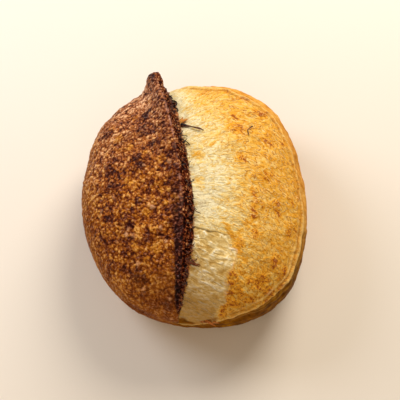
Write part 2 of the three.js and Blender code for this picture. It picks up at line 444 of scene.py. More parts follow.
# Spots seen on the flap: share of the score, distance down from the crest, radius
goldenSpots = [
    (0.63, 49, 6.5), (0.6, 40, 4.5), (0.52, 44, 5.5), (0.35, 25, 5.5), (0.375, 44, 5),
    (0.555, 13, 5), (0.48, 14, 4), (0.44, 30, 4), (0.69, 30, 4), (0.51, 7, 3.5),
    (0.58, 26, 3.5),
]
darkSpots = [
    (0.64, 25, 7.5), (0.69, 20, 5), (0.6, 16, 5), (0.43, 49, 7), (0.52, 62, 6),
    (0.57, 34, 5.5), (0.7, 18, 5.5), (0.47, 36, 5), (0.3, 46, 8), (0.66, 60, 7),
    (0.4, 10, 5),
]
# The pale spots are raised blisters whose tops are painted lighter as a highlight
paleSpots = [
    (0.45, 25, 2.6), (0.395, 19, 2.2), (0.36, 15, 2.2), (0.33, 44, 2.4), (0.545, 28, 1.8),
]

# Browned patches seen on the bloom: share of the score, distance past the crest, length away
# from the tear, width along it, turn in degrees, and browning, where 1 is deep amber
seenPatches = [
    (0.59, 56, 19, 7, -15, 1.25), (0.615, 58, 9, 3.5, -50, 0.9), (0.66, 75, 14, 6, -5, 0.9),
    (0.555, 18, 10, 6, -10, 0.8), (0.53, 54, 9, 6, 10, 0.9), (0.57, 33, 12, 3, 15, 0.7),
    (0.49, 15, 9, 10, 0, 0.75), (0.465, 61, 4, 11, 15, 0.95), (0.435, 59, 6, 9, -20, 0.95),
    (0.405, 59, 5, 9, 10, 1), (0.395, 39, 18, 4.5, -45, 1), (0.375, 46, 8, 14, -15, 0.9),
    (0.315, 69, 12, 12, 30, 1), (0.275, 53, 14, 9, -15, 0.95), (0.23, 50, 15, 9, 10, 1.05),
    (0.255, 66, 12, 8, 10, 0.9), (0.29, 82, 12, 7, 20, 0.9), (0.45, 84, 9, 7, 20, 0.7),
    (0.355, 78, 9, 8, 60, 0.85), (0.5, 78, 12, 5, 0, 0.7), (0.56, 84, 14, 4, -10, 0.75),
    (0.62, 84, 14, 5, -10, 0.8), (0.7, 62, 14, 5, -10, 0.8), (0.73, 45, 12, 4.5, -10, 0.75),
    (0.34, 92, 9, 8, 20, 0.8), (0.41, 96, 10, 6, 30, 0.75),
]
# Small torn skins that only show as ridges in the bloom's own surface: how many, where along
# the score, how long and wide, how they turn, and how brown they are
scatteredSkins = dict(
    count=110, shares=(0.2, 0.85), nearest=12, reach=95,
    lengths=(6, 15), widths=(2.5, 5.5), turn=22, browning=(0.1, 0.7),
)
# Golden and dark spots strewn over the flap besides those: how many, radii, strength
strewnGold = dict(count=26, radii=(3, 6), height=0.9, seed=14)
strewnDark = dict(count=30, radii=(4, 9), height=0.9, seed=15)


def noiseVector(points, size, seed):
    return np.stack([noise(points, size, seed + i) for i in range(3)], axis=1)


# A tree over slightly shaken spots, so that round marks come out uneven
shaken = form + 0.8 * noiseVector(form, 3.5, 61)
shakenTree = kdtree.KDTree(len(shaken))
for index, place in enumerate(shaken):
    shakenTree.insert(place, index)
shakenTree.balance()


# A dome at each centre; every vertex takes the highest that covers it
def markDomes(centres, radii, heights, power=0.8):
    marks = np.zeros(len(form))
    for centre, radius, height in zip(centres, radii, heights):
        for _, index, distance in shakenTree.find_range(centre, radius):
            marks[index] = max(marks[index], height * (1 - (distance / radius) ** 2) ** power)
    return marks


def scatteredDomes(chosen, count, radii, height, seed):
    random = np.random.default_rng(seed)
    centres = form[random.choice(chosen, count)] + random.uniform(-0.5, 0.5, (count, 3))
    sizes = random.uniform(*radii, count)
    return markDomes(centres, sizes, height * random.uniform(0.4, 1.1, count) * sizes / radii[1])


# The plain form at a place given by its share of the score and its distance from the crest
def placesOnLoaf(shares, distances, side):
    shares, distances = np.array(shares, float), np.array(distances, float)
    sides = np.full(len(shares), float(side))
    across = np.clip(distances / sectionLength(shares, sides), 0, 1)
    return shapedLoaf(shares, sides, across, np.zeros(len(shares)), np.ones(len(shares)))[0]


def markedSpots(spots):
    shares, distances, radii = zip(*spots)
    return markDomes(placesOnLoaf(shares, distances, -1), radii, np.ones(len(radii)), 0.6)


down, beyond, past, torn = spot["down"], spot["beyond"], spot["past"], spot["torn"]
blistered = np.flatnonzero(~onBloom & (depth < 0.85) & (down > 1.5))
blister = scatteredDomes(blistered, crustRelief["blisters"], crustRelief["blisterRadius"],
                         crustRelief["blisterHeight"], 11)
bigBlister = scatteredDomes(blistered, crustRelief["bigBlisters"], crustRelief["bigRadius"],
                            crustRelief["bigHeight"], 12)
# Pale blisters, whose tops are painted lighter as a highlight
pale = scatteredDomes(blistered, crustRelief["paleBlisters"], crustRelief["paleRadius"], 1, 13)
pale = np.maximum(pale, markedSpots(paleSpots))
golden = markedSpots(goldenSpots)
golden = np.maximum(golden, scatteredDomes(blistered, **strewnGold))
darkened = markedSpots(darkSpots)
darkened = np.maximum(darkened, scatteredDomes(blistered, **strewnDark))
print("blisters placed")

# Places on the bloom laid flat: across it from the tear, and along the score. The second
# falls away across the bloom, so that its streaks sweep round towards the near end.
flow = along + crustRelief["sweep"] * beyond ** 2 / scoreLength
sheet = np.stack([beyond, flow * scoreLength, 0 * along], axis=1)
sheet[:, 1] += 1.5 * noise(form, 12, 25)
strand = noise(sheet / [crustRelief["strandLength"], crustRelief["strandWidth"], 1], 1, 21)
strand *= np.exp(-beyond / crustRelief["strandReach"])
wrinkleSize = [crustRelief["wrinkleLength"], crustRelief["wrinkleWidth"], 1]
wrinkle = 1 - 2 * np.abs(noise(sheet / wrinkleSize, 1, 26))
wrinkle *= smooth(34, 20, beyond) * smooth(0.37, 0.40, along) * smooth(0.56, 0.47, along)


# How far every vertex lies from a place on the bloom, along and across a turned mark there
def fromMark(share, distance, angle):
    aside = spot["fromCrest"] - distance
    ahead = (along - share) * scoreLength
    lengthways = aside * math.cos(angle) + ahead * math.sin(angle)
    sideways = ahead * math.cos(angle) - aside * math.sin(angle)
    return lengthways, sideways


# A wedge for each skin: `lifted` rises to its torn edge, and `toasted` is how brown it is.
# The patches add to `toasted` only.
def laySkins():
    random = np.random.default_rng(17)
    lifted, toasted = np.zeros(len(form)), np.zeros(len(form))
    wobble = 0.9 * noise(form, 3.2, 41, 2)
    for _ in range(scatteredSkins["count"]):
        share = random.uniform(*scatteredSkins["shares"])
        spreadHere = scatteredSkins["reach"] * random.random() * math.sin(math.pi * share)
        distance = scatteredSkins["nearest"] + spreadHere
        length = random.uniform(*scatteredSkins["lengths"])
        width = random.uniform(*scatteredSkins["widths"])
        angle = math.radians(random.normal(0, scatteredSkins["turn"]) + random.choice([0, 180]))
        brown = random.uniform(*scatteredSkins["browning"]) * (0.4 + distance / 110)
        lengthways, sideways = fromMark(share, distance, angle)
        way = lengthways / length
        off = (sideways + wobble) / (width / 2)
        near = onBloom & (way > -0.3) & (way < 1.3) & (np.abs(off) < 1.5)
        way, off = way[near], off[near]
        body = smooth(0, 0.1, way) * smooth(1, 0.55, way) * smooth(1.0, 0.55, np.abs(off) + 0.5 * way)
        rim = smooth(0.45, -0.6, off)
        lifted[near] = np.maximum(lifted[near], body * (0.3 + 0.7 * rim) * (1 - 0.5 * way))
        toasted[near] = np.maximum(toasted[near], brown * body * (0.5 + 0.5 * rim))
    for share, distance, length, width, turn, brown in seenPatches:
        lengthways, sideways = fromMark(share, distance, math.radians(turn))
        fromMiddle = np.hypot(lengthways / (length / 2), sideways / (width / 2))
        patch = np.where(onBloom, smooth(1.7, 0.2, fromMiddle), 0)
        toasted = np.maximum(toasted, brown * patch)
    return lifted, toasted


lifted, toasted = laySkins()

# The bloom's near end, below the step: a web of crinkled crumb beside the tear, a dark line
# painted along the ledge as the step's shadow, and rough knobs of browned crust beyond the web
nearEndLook = dict(
    stepWander=0.006, ledgeAt=0.388, ledgeWidth=0.0045, ledgeFade=(20, 12),
    webReach=33, webFade=(38, 22), webWander=6, webStretch=2.6,
    knobsFrom=(33, 40), knobSize=4.2,
)
stepNoise = noise(form, 6, 28)
reachNoise = noise(form, 9, 22, 2)
stepEdge = scoreForm["stepAt"] + 0.012
nearStep = smooth(stepEdge + 0.01, stepEdge, along + nearEndLook["stepWander"] * stepNoise)
webWander = nearEndLook["webWander"] * reachNoise
web = np.where(onBloom, nearStep * smooth(*nearEndLook["webFade"], beyond + webWander), 0)
web *= smooth(0.01, 0.04, along)
# Painted shadow: a dark line along the ledge where the step above shades it
ledgeShadow = hump(along - nearEndLook["ledgeAt"] + 0.004 * stepNoise, nearEndLook["ledgeWidth"])
ledgeShadow *= smooth(*nearEndLook["ledgeFade"], beyond) * smooth(-1, 0.5, beyond)
ledgeShadow = np.where(onBloom, ledgeShadow, 0)
webWarp = sheet + 1.6 * noise(form, 5, 24)[:, None]
webWarp /= [nearEndLook["webStretch"], 1, 1]
webLine = 1 - np.abs(noise(webWarp, crustRelief["webSize"], 23, 2))
webLine = (np.clip(webLine - 0.5, 0, 1) / 0.5) ** 1.5 * smooth(-1.1, 0.1, noise(form, 6, 42))
webEdge = np.where(onBloom, hump(beyond - nearEndLook["webReach"] - webWander, 3.0) * nearStep, 0)
toasted = np.maximum(toasted, 1.1 * webEdge * smooth(0.1, 0.2, along))
knobs = np.where(onBloom, smooth(0.37, 0.31, along) * smooth(*nearEndLook["knobsFrom"], beyond), 0)
knob = noise(form, nearEndLook["knobSize"], 44, 2)
toasted = np.maximum(toasted, 0.9 * knobs * smooth(-0.4, 0.9, noise(form, 7, 45, 2)))

# The dark face of the tear, ragged along its foot. `scoreLine` is each vertex's place along
# the score and nothing else, so that noise read there runs right across the loaf.
scoreLine = np.stack([along * scoreLength, 3.7 + 0 * along, 0 * along], axis=1)
ragged = tear["rag"] * (0.6 * noise(scoreLine, 11, 3) + 0.5 * noise(scoreLine, 3.4, 4, 2))
opening = smooth(0.05, tear["opensBy"], along) * smooth(1, 0.93, along)
knobbed = smooth(0.62, 0.70, along) * smooth(0.90, 0.84, along)
notch = tear["notchDepth"] * hump(along - tear["notchAt"], tear["notchWidth"])
tearEdge = tear["width"] * opening + ragged * smooth(0.04, 0.2, along) - notch
tearEdge += tear["knobbly"] * knobbed * (1 + noise(scoreLine, tear["knobblySize"], 46))
tornFace = np.where(onBloom, smooth(0.5, -0.5, past - tearEdge), 0) * smooth(0.05, 0.09, along)
tornFace *= smooth(0.995, 0.96, along)
fringe = np.where(onBloom, hump(past - tearEdge - 0.4, 0.9), 0) * smooth(0.08, 0.2, along)
fringe *= smooth(-0.5, 0.4, noise(scoreLine, 9, 29, 2))

# The dark band on the flap, sharp at its near end and patchy towards the ear's tip
bandEdge = (tear["bandWidth"] + tear["bandSpread"] * along) * smooth(0.04, 0.14, along)
bandPatchiness = smooth(0.35, 0.6, along)
bandBlur = mixed(*tear["bandBlur"], bandPatchiness)
bandWander = mixed(*tear["bandWander"], bandPatchiness) * noise(form, 6, 30, 2)
band = np.where(onBloom, 0, smooth(1, -1, (down + bandWander - bandEdge) / bandBlur))
band *= smooth(1, 0.9, along) * smooth(0.05, 0.09, along)
bandBurnt = smooth(0.55, 0.38, along)
burnt = band * bandBurnt
darkened = np.maximum(darkened, tear["bandDark"] * band * (1 - bandBurnt))

# The lip where the bloom meets the old skin: a pale ridge with a groove inside it, and
# pleats beside it, one on the bloom and two on the side. Each has its place past the lip
# and its width.
lipLook = dict(
    wander=1.3, ridge=(0.5, 2.1), groove=(-3.8, 1.3),
    innerPleat=(-8, 1.7), outerPleats=[(6, 1.5), (11, 1.6)],
)
ridgeAt, ridgeWidth = lipLook["ridge"]
grooveAt, grooveWidth = lipLook["groove"]
pleatAt, pleatWidth = lipLook["innerPleat"]
pastLip = spot["pastLip"] + lipLook["wander"] * noise(form, 15, 43, 2)
lipBreak = mixed(0.5, 1, smooth(-0.9, 0.1, noise(scoreLine, 14, 31, 2)))
lipNoise = noise(form, 8, 32)
lipRidge = np.where(onBloom, hump(pastLip - ridgeAt + 0.6 * lipNoise, ridgeWidth), 0) * lipBreak
lipGroove = np.where(onBloom, hump(pastLip - grooveAt + 0.8 * lipNoise, grooveWidth), 0) * lipBreak
innerPleat = hump(pastLip - pleatAt + 1.5 * noise(form, 15, 33), pleatWidth)
innerPleat *= smooth(0.46, 0.36, along)
innerPleat *= smooth(0.18, 0.26, along)
outerPleat = np.zeros(len(form))
for seed, (at, width) in enumerate(lipLook["outerPleats"], 53):
    outerPleat += hump(pastLip - at + 1.2 * noise(form, 12, seed), width)
outerPleat *= smooth(0.55, 0.42, along) * smooth(0.10, 0.18, along) * (0.5 + 0.5 * lipBreak)
pleats = np.maximum(0.8 * innerPleat, 0.2 * outerPleat)
lipRidge = np.maximum(lipRidge, np.where(onBloom, pleats, 0)) * smooth(0.06, 0, depth)
lipGroove *= smooth(0.06, 0, depth)

# Where the old skin shows, and where the flap is: on the underside the two meet in an
# uneven border below the score's ends
skin = np.where(onBloom, smooth(0.8, 3.2, pastLip), 0)
nearLip = smooth(0.055, 0.035, along + 0.012 * noise(form, 7, 50, 2))
skin = np.maximum(skin, np.where(onBloom, nearLip, 0))
skin = np.where(depth > 0, 1, skin)
endLine = mixed(nearEnd[0], farEnd[0], (form[:, 1] / halfLength + 1) / 2) * halfWidth
flapBelow = smooth(9, -9, form[:, 0] - endLine + 9 * noise(form, 16, 34, 3) + 10 * depth)
flap = np.where(depth > 0, flapBelow, np.where(onBloom, 0, 1.0))

flapRelief = blister + bigBlister + crustRelief["paleHeight"] * pale + darkened * (1 - band)
flapRelief += crustRelief["cobble"] * noise(form, crustRelief["cobbleSize"], 5, 2)
tornRelief = crustRelief["rags"] * noise(form, crustRelief["ragSize"], 6, 3) + 0.5 * noise(form, 1.8, 7)
tornRelief += tear["knobblyRelief"] * knobbed * noise(form, tear["knobblyGrain"], 47)
bloomRelief = crustRelief["strands"] * strand + crustRelief["wrinkles"] * wrinkle
bloomRelief += crustRelief["mottle"] * noise(form, crustRelief["mottleSize"], 8, 2) * smooth(10, 60, beyond)
bloomRelief += crustRelief["skins"] * lifted + 0.35 * smooth(0.35, 0.75, toasted)
bloomRelief += crustRelief["knobs"] * knobs * knob
bloomRelief += web * crustRelief["web"] * (webLine - 0.4)
bloomRelief += 0.9 * crustRelief["pleats"] * innerPleat - 0.5 * lipGroove

# The old skin's pleats, one under another, that fade out below the lip
pleatPlace = (form[:, 2] + 2.0 * noise(form, 20, 9)) / crustRelief["pleatSize"]
belowLip = pastLip + loafForm["bulge"] * depth
pleat = np.sin(pleatPlace) * smooth(24, 6, belowLip) * (0.6 + 0.5 * noise(form, 16, 51))
skinRelief = crustRelief["pleats"] * pleat
skinRelief += np.where(onBloom, 0.8 * outerPleat, 0) * smooth(0.1, 0, depth)
skinRelief += 0.9 * noise(form, 9, 35, 2) + 0.3 * noise(form, 4, 10, 2) - 0.4 * hump(pastLip - 5, 4)

tearFade = smooth(0, 0.1, along) * smooth(1, 0.93, along)
relief = np.where(onBloom, bloomRelief, flapRelief * (1 - 0.45 * smooth(72, 46, form[:, 2])))
relief = mixed(relief, tornRelief, np.where(onBloom, smooth(0.05, 0.4, torn), 0) * tearFade)
relief = mixed(relief, mixed(skinRelief, flapRelief * 0.8, flap), np.where(onBloom | (depth > 0), skin, 0))
relief += crustRelief["swell"] * noise(form, crustRelief["swellSize"], 2)
relief *= smooth(1.0, 0.8, depth)

# The crest is smoother than the flap in its middle and lumpy beyond, and it ends in the
# ear's blunt and burnt tip, which is pushed sideways
crestLook = dict(width=1.5, smoother=0.7, lumps=0.9, lumpSize=3.5, lineWidth=0.8)
earTip = dict(
    blunt=2.4, at=0.86, length=0.06, reach=9, push=[1, -0.2, -0.5],
    burn=1.8, burnAt=0.88, burnReach=11,
)
fromCrest = spot["fromCrest"]
crestBand = hump(fromCrest, crestLook["width"]) * np.where(depth > 0, 0, 1)
relief *= 1 - crestLook["smoother"] * crestBand * smooth(0.3, 0.5, along) * smooth(0.72, 0.62, along)
crestLumps = noise(form, crestLook["lumpSize"], 48, 2)
relief += crestLook["lumps"] * crestBand * smooth(0.62, 0.72, along) * crestLumps
blunt = earTip["blunt"] * hump(along - earTip["at"], earTip["length"])
blunt = blunt * hump(fromCrest, earTip["reach"]) * (depth == 0)
tipBurn = earTip["burn"] * hump(along - earTip["burnAt"], earTip["length"])
tipBurn = tipBurn * hump(fromCrest, earTip["burnReach"]) * (depth == 0)
darkened = np.maximum(darkened, tipBurn)
surface = form + normals * relief[:, None] + normals * blunt[:, None] * earTip["push"]
surface[:, 2] = np.maximum(surface[:, 2], 0)

# The pale line along the crest, broken, and lost in its near half
crestLine = hump(fromCrest + 0.5 * noise(scoreLine, 9, 36), crestLook["lineWidth"])
crestLine *= np.where(depth > 0, 0, 1)
crestLine *= smooth(0.40, 0.50, along) * smooth(0.80, 0.72, along)
crestLine *= smooth(-0.5, 0.3, noise(scoreLine, 4, 37, 2))

# How brown the bloom is: pale beside the tear and golden beyond, with more at its far end,
# outside the crumb of its near end, and in the golden field between. Past `golden` it only
# browns slowly, and some of the knobs stay pale.
ripeness = dict(
    across=0.84, streaks=0.10, patches=0.10,   # per 100 mm from the tear, and its unevenness
    farEnd=0.30, nearEnd=0.32, field=0.16, golden=0.46, slower=0.3, paleKnobs=0.2,
)
ripe = ripeness["across"] * beyond / 100
ripe += ripeness["streaks"] * noise(sheet / [2.2, 1, 1], 9, 38, 2)
ripe += ripeness["patches"] * noise(form, 22, 39)
ripe += ripeness["farEnd"] * smooth(0.56, 0.70, along) * smooth(10, 45, beyond)
ripe += ripeness["nearEnd"] * smooth(0.40, 0.30, along) * smooth(26, 34, beyond)
fieldEdge = beyond + 8 * noise(form, 11, 49, 2)
ripe += ripeness["field"] * smooth(36, 48, fieldEdge) * smooth(0.36, 0.44, along)
ripe = np.minimum(ripe, mixed(ripeness["golden"], ripe, ripeness["slower"]))
ripe -= ripeness["paleKnobs"] * knobs * smooth(0.1, 0.8, noise(form, 6, 52, 2))

# The old skin is golden at the far end and painted brown at the near one as shade
skinLitShare = smooth(-75, 0, form[:, 1])

# The flap's low side and near end are smoother and more even than its top
lowSide = np.maximum(smooth(80, 48, form[:, 2]), 0.75 * smooth(0.38, 0.16, along))
lowSide *= np.where(onBloom, 0, 1)

# What the materials need to know about each spot
traits = dict(
    flap=np.maximum(flap, tornFace),
    torn=tornFace,
    fringe=fringe,
    band=burnt,
    fromTear=beyond / 100,
    fromNear=along,
    flow=flow,
    skin=skin,
    crestLine=crestLine,
    lipRidge=lipRidge,
    lipGroove=lipGroove,
    blister=np.clip((blister + 0.6 * bigBlister) / 0.6, 0, 1),
    pale=np.clip(pale, 0, 1),
    golden=golden,
    lowSide=lowSide,
    toasted=toasted,
    darkened=darkened,
    ripe=ripe,
    web=web,
    webLine=webLine,
    ledgeShadow=ledgeShadow,
    skinLitShare=skinLitShare,
    pleat=pleat,
    depth=depth,
)


# Two islands: the top and upper side as one disc, and the lower side and base as another
bakeMap = dict(topMiddle=0.43, topRadius=0.41, baseMiddle=0.84, baseRadius=0.15, cut=0.55, footShare=0.62)


def bakeLayout():
    cut, footShare = bakeMap["cut"], bakeMap["footShare"]
    polar = np.arccos(np.clip(spot["direction"][:, 2], -1, 1)) / (np.pi / 2)
    topReach = (polar + 0.5 * depth) / (1 + 0.5 * cut)
    baseReach = np.where(depth < 1, mixed(1, footShare, (depth - cut) / (1 - cut)), footShare * foot)
    plan = spot["direction"][:, :2]
    plan = plan / np.maximum(np.linalg.norm(plan, axis=1, keepdims=True), 1e-9)
    top = bakeMap["topMiddle"] + bakeMap["topRadius"] * topReach[:, None] * plan
    base = bakeMap["baseMiddle"] + bakeMap["baseRadius"] * baseReach[:, None] * plan * [-1, 1]
    onBase = (depth[faces].min(axis=1) >= cut)[:, None, None]
    return np.where(onBase, base[faces], top[faces]).reshape(-1, 2)


def addTraits(data, values):
    for name, value in values.items():
        made = data.attributes.new(name, "FLOAT", "POINT")
        made.data.foreach_set("value", np.ascontiguousarray(value, dtype=np.float32))


plainMiddle = (form.min(axis=0) + form.max(axis=0)) / 2
boxLow, boxHigh = (np.array(corner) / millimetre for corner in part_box("loaf"))
toFrame = (boxLow + boxHigh) / 2 - plainMiddle
toFrame[2] = boxLow[2]
plainSize = form.max(axis=0) - form.min(axis=0)
print("size against the solid:", plainSize.round(2), (boxHigh - boxLow).round(2))


def makePiece(name, points, polygons):
    data = bpy.data.meshes.new(name)
    data.from_pydata(((points + toFrame) * millimetre).tolist(), [], polygons)
    data.polygons.foreach_set("use_smooth", [True] * len(data.polygons))
    piece = bpy.data.objects.new(name, data)
    bpy.context.scene.collection.objects.link(piece)
    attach(piece, "root")
    return piece


# Crust: flour and water browned by heat. Matt, with a dull shine on its blisters. The eye
# reads it by its speckle: dark skin between light blisters on the flap, partly painted shade
# in the gaps and painted highlight on the tops, and thin golden streaks that follow the pull
# of the bloom. The speckle is drawn a little coarser than the finest real one, so that it shows.
crustLook = dict(
    ior=1.45, bloomShine=0.16, flapShine=0.1, glintShine=0.6, tornShine=0.04,
    bloomRoughness=0.62, flapRoughness=0.7, glintRoughness=0.3,
    # Sizes in millimetres: the flap's speckle and how its cells are shaken, and the flakes
    # that the bloom pulled long or tore loose
    speckle=2.9, shakeSize=4, shakeReach=3,
    flakeLength=9, flakeWidth=2.8, looseSize=11, bumpHeight=1.4,
    # Grains laid evenly all over the loaf: size in millimetres, detail, unevenness
    grains=dict(
        fine=(2.2, 3, 0.6), medium=(9, 2, 0.5), patches=(28, 2, 0.5),
        drift=(7, 4, 0.65), pores=(2.4, 3, 0.7),
    ),
    # the flap with a painted cool reflection of the sky, laid on towards the ear's tip
    flapSkySheen=["#2a0c08", "#642e18", "#9c5a32", "#c68658", "#ecba8e"],
    flapWarm=["#340c00", "#602400", "#8c4606", "#b06610", "#de9e4a"],
    lowFlap=["#6a3208", "#8e4e12", "#ac6e26"],
    amber=["#6e3204", "#a85f0c", "#d68f2a"],
    paleBlisterHighlight="#e3a978", darkPatch="#260806", crest="#b5806a",
    band=["#120200", "#320a02", "#64280e", "#a8622c"],
    torn=["#0c0201", "#340a04", "#62220c", "#8a4a22", "#cc9460"],
    fringe="#a85a18",
    bloom=["#f2e6bc", "#efd896", "#eec66c", "#efb546", "#eba528", "#e09318", "#cb7c0e", "#a4540a"],
    brownLine="#a65a0a", flakeHighlight="#ffe6ac",
    web=["#c4994a", "#e4c47c", "#f6e0a6", "#fff6d8"], webShadeColour="#b0843e", ledgeShadow="#8f7034",
    # the old skin's brown is painted shade; skinGolden is the skin where lit
    skin=["#563000", "#824e00", "#aa7408", "#ce9834"],
    skinGolden=["#c07a20", "#e09c3a", "#f0bc62"],
    lip="#f6cf80", groove="#b06c1c",
    base=["#5c3212", "#8a5a2a", "#b58a54"],
)


# Stops at even steps. What would stand past the ramp's end gathers there, so that the last
# colour only comes up where the crust is brownest.
def spread(colours, low, high):
    steps = np.linspace(low, high, len(colours))
    return list(zip(steps.tolist(), colours))


def makeCrust():
    look = crustLook
    material = bpy.data.materials.new("ovenBrownedCrust")
    material.use_nodes = True
    tree = material.node_tree
    shader = tree.nodes["Principled BSDF"]
    shader.inputs["IOR"].default_value = look["ior"]
    place = addNode(tree, "TexCoord", out="Object")
    trait = {name: addNode(tree, "Attribute", out="Fac", attribute_name=name) for name in traits}

    # A start and any number of patterns, each with its weight
    def sums(start, *terms):
        total = start
        for source, weight in terms:
            total = addNode(tree, "Math", {0: source, 1: weight, 2: total}, operation="MULTIPLY_ADD")
        return total

    # A colour or a number, and others laid over it in turn, each by a mask and its weight
    def layered(kind, value, *layers):
        first, out = {"RGBA": (6, 2), "FLOAT": (2, 0)}[kind]
        for mask, weight, layer in layers:
            share = sums(0, (mask, weight))
            value = addNode(tree, "Mix", {0: share, first: value, first + 1: layer}, out=out, data_type=kind)
        return value

    grains = []
    for size, detail, unevenness in look["grains"].values():
        grains.append(addNode(tree, "TexNoise", {"Vector": place, "Scale": scaleFor(size),
                              "Detail": detail, "Roughness": unevenness}))
    fine, medium, patches, drift, pores = grains

    # Flap: shaken cells with a random tone each, broken up by finer and wider unevenness
    shake = addNode(tree, "TexNoise", {"Vector": place, "Scale": scaleFor(look["shakeSize"]),
                    "Detail": 2}, out="Color")
    shakeReach = [look["shakeReach"] * millimetre] * 3
    shaken = addNode(tree, "VectorMath", {0: shake, 1: shakeReach, 2: place}, operation="MULTIPLY_ADD")
    cells = addNode(tree, "TexVoronoi", {"Vector": shaken, "Scale": scaleFor(look["speckle"])}, out="Color")
    cell = addNode(tree, "SeparateColor", {0: cells})
    gap = cells.node.outputs["Distance"]
    # Lighter on the blister tops: partly a painted highlight
    tone = sums(-0.72, (cell, 0.40), (fine, 1.25), (medium, 0.65), (patches, 0.5), (trait["blister"], 0.2))
    # Lighter towards the ear's tip: partly flour, partly a painted sheen of glancing light
    tipFlourAndSheen = addNode(tree, "MapRange", {0: trait["fromNear"], 1: 0.62, 2: 0.85, 3: 0.0, 4: 0.12},
                      clamp=True)
    # Darker in the gaps between cells: partly the crust's own speckle, partly painted shade
    tone = sums(tone, (tipFlourAndSheen, 1.0), (gap, -0.5), (trait["darkened"], -0.17), (trait["golden"], 0.06))
    skySheenColour = addNode(tree, "ValToRGB", {"Fac": tone}, stops=spread(look["flapSkySheen"], 0.12, 0.88))
    warm = addNode(tree, "ValToRGB", {"Fac": tone}, stops=spread(look["flapWarm"], 0.12, 0.88))
    amber = addNode(tree, "ValToRGB", {"Fac": tone}, stops=spread(look["amber"], 0.25, 0.75))
    lowTone = sums(-0.75, (fine, 0.9), (medium, 0.9), (patches, 0.8))
    lowColour = addNode(tree, "ValToRGB", {"Fac": lowTone}, stops=spread(look["lowFlap"], 0.2, 0.8))
    bandTone = sums(-1.0, (fine, 2.1), (cell, 0.35), (trait["fromNear"], 0.4))
    bandColour = addNode(tree, "ValToRGB", {"Fac": bandTone}, stops=spread(look["band"], 0.1, 0.9))
    # Cooler and purplish towards the tip: a painted reflection of the sky
    sheenTowardsTip = addNode(tree, "Clamp", {0: sums(-2.3, (trait["fromNear"], 3.6), (medium, 0.9))})
    flapColour = layered(
        "RGBA", warm,
        (sheenTowardsTip, 1.0, skySheenColour),
        (trait["golden"], 0.8, amber),
        (trait["darkened"], 0.3, linear(look["darkPatch"])),
        (trait["lowSide"], 0.75, lowColour),
        # pale blister tops: painted highlight
        (trait["pale"], 0.75, linear(look["paleBlisterHighlight"])),
        (trait["band"], 1.0, bandColour),
    )

    # Bloom: pale crumb at the tear, then straw, then golden amber. Its skin tore in steps as it
    # swelled, so two stepped noises give each flake a brown edge and a painted highlight beside it.
    # `flat` counts in flakes, across the bloom and along the score.
    fromTear = addNode(tree, "Math", {0: trait["fromTear"], 1: 100 / look["flakeLength"]},
                       operation="MULTIPLY")
    flow = addNode(tree, "Math", {0: trait["flow"], 1: scoreLength / look["flakeWidth"]},
                   operation="MULTIPLY")
    flat = addNode(tree, "CombineXYZ", {0: fromTear, 1: flow})
    streak = addNode(tree, "TexNoise", {"Vector": flat, "Scale": 1.6, "Detail": 3,
                     "Roughness": 0.65, "Distortion": 0.5})
    flakes = []
    for vector, scale, steps in ((flat, 0.55, 8.0), (place, scaleFor(look["looseSize"]), 9.0)):
        rise = addNode(tree, "TexNoise", {"Vector": vector, "Scale": scale, "Detail": 4,
                       "Roughness": 0.55, "Distortion": 0.35})
        rise = addNode(tree, "Math", {0: rise, 1: steps}, operation="MULTIPLY")
        flakes.append(addNode(tree, "Math", {0: rise}, operation="FRACT"))
    pulled, loose = flakes

    # Pulled flakes show most in the far half, and loose ones in the near half
    further = sums(-0.5, (trait["fromNear"], 1.0), (medium, 0.2))
    here = addNode(tree, "MapRange", {0: further, 1: -0.06, 2: 0.06, 3: 0.25, 4: 1.0}, clamp=True)
    there = addNode(tree, "MapRange", {0: further, 1: -0.06, 2: 0.06, 3: 1.0, 4: 0.2}, clamp=True)
    edges = []
    for flake, share in ((pulled, here), (loose, there)):
        edge = addNode(tree, "Math", {0: flake, 1: 6.0}, operation="POWER")
        edges.append(addNode(tree, "Math", {0: edge, 1: share}, operation="MULTIPLY"))
    line = addNode(tree, "Math", {0: edges[0], 1: edges[1]}, operation="MAXIMUM")
    lineRipe = addNode(tree, "MapRange", {0: trait["ripe"], 1: 0.0, 2: 0.5, 3: 0.28, 4: 1.0}, clamp=True)
    line = addNode(tree, "Math", {0: line, 1: lineRipe}, operation="MULTIPLY")
    pulledHere = addNode(tree, "Math", {0: pulled, 1: here}, operation="MULTIPLY")
    looseThere = addNode(tree, "Math", {0: loose, 1: there}, operation="MULTIPLY")
    toast = sums(-0.95, (trait["toasted"], 1.0), (drift, 0.9), (streak, 0.75), (pores, 0.45))
    toast = addNode(tree, "MapRange", {0: toast, 1: 0.2, 2: 0.95, 3: 0.0, 4: 0.95}, clamp=True)
    amount = sums(-1.03, (trait["ripe"], 1.0), (streak, 0.75), (drift, 0.6), (pores, 0.5),
                  (pulledHere, 0.26), (looseThere, 0.30), (toast, 0.42))
    bloomColour = addNode(tree, "ValToRGB", {"Fac": amount}, stops=spread(look["bloom"], 0.0, 1.3125))
    # Painted highlight: a pale streak beside each pulled flake's edge
    flakeHighlight = addNode(tree, "MapRange", {0: pulled, 1: 0.0, 2: 0.3, 3: 0.35, 4: 0.0}, clamp=True)
    flakeHighlight = addNode(tree, "Math", {0: flakeHighlight, 1: here}, operation="MULTIPLY")

